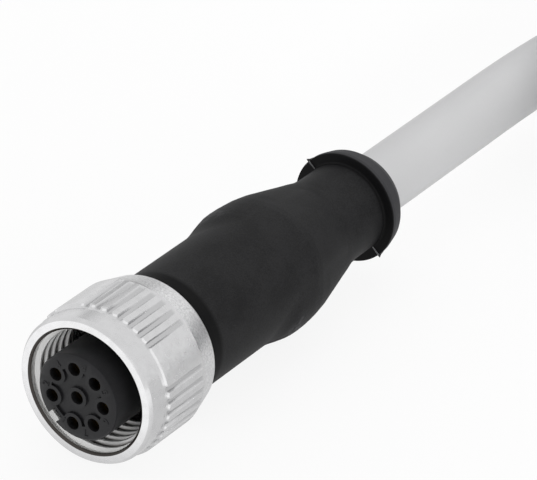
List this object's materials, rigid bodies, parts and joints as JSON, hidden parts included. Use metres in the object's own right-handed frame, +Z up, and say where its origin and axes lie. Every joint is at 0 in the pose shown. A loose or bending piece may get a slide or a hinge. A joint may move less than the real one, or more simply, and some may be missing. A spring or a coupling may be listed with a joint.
{
  "type": "m12 connector",
  "caption": "Straight round cable connector: fluted metal screw coupling nut, keyed black contact insert and slim moulded grip with a collar, on a coiled grey cable.",
  "frame": {"origin": "centre of the insert's mating face, on the connector's axis", "axes": "+Y from the mating face towards the cable, +Z up; the connector lies on its coupling nut, 7.3 mm below the axis"},
  "size_m": [0.086, 0.138, 0.0199],
  "materials": {
    "nickel_plated_zinc": "satin nickel plate on die-cast zinc",
    "carrier_polyamide": "moulded, fine satin",
    "seal_rubber": "moulded",
    "gold_plated_contact": "gold plated",
    "grip_polyurethane": "overmoulded, fine spark-eroded grain",
    "cable_jacket": "extruded, matt",
    "tie_plastic": "plain",
    "core_white": "extruded insulation",
    "core_brown": "extruded insulation",
    "core_green": "extruded insulation",
    "core_yellow": "extruded insulation",
    "core_grey": "extruded insulation",
    "core_pink": "extruded insulation",
    "core_blue": "extruded insulation",
    "core_red": "extruded insulation"
  },
  "bodies": {
    "connector": {"contact_carrier": "carrier_polyamide", "sealing_ring": "seal_rubber", "contact_1": "gold_plated_contact", "contact_2": "gold_plated_contact", "contact_3": "gold_plated_contact", "contact_4": "gold_plated_contact", "contact_5": "gold_plated_contact", "contact_6": "gold_plated_contact", "contact_7": "gold_plated_contact", "contact_8": "gold_plated_contact", "core_1": "core_white", "core_2": "core_brown", "core_3": "core_green", "core_4": "core_yellow", "core_5": "core_grey", "core_6": "core_pink", "core_7": "core_blue", "core_8": "core_red", "grip_body": "grip_polyurethane", "cable_entry": "cable_jacket", "cable": "cable_jacket", "cable_coil": "cable_jacket", "coil_tie_front": "tie_plastic", "coil_tie_rear": "tie_plastic"},
    "nut": {"coupling_nut": "nickel_plated_zinc"}
  },
  "joints": [
    {"name": "nut_spin", "type": "hinge", "parent": "connector", "child": "nut", "pos_m": [0, 0, 0], "axis": [0, 1, 0], "continuous": true}
  ]
}
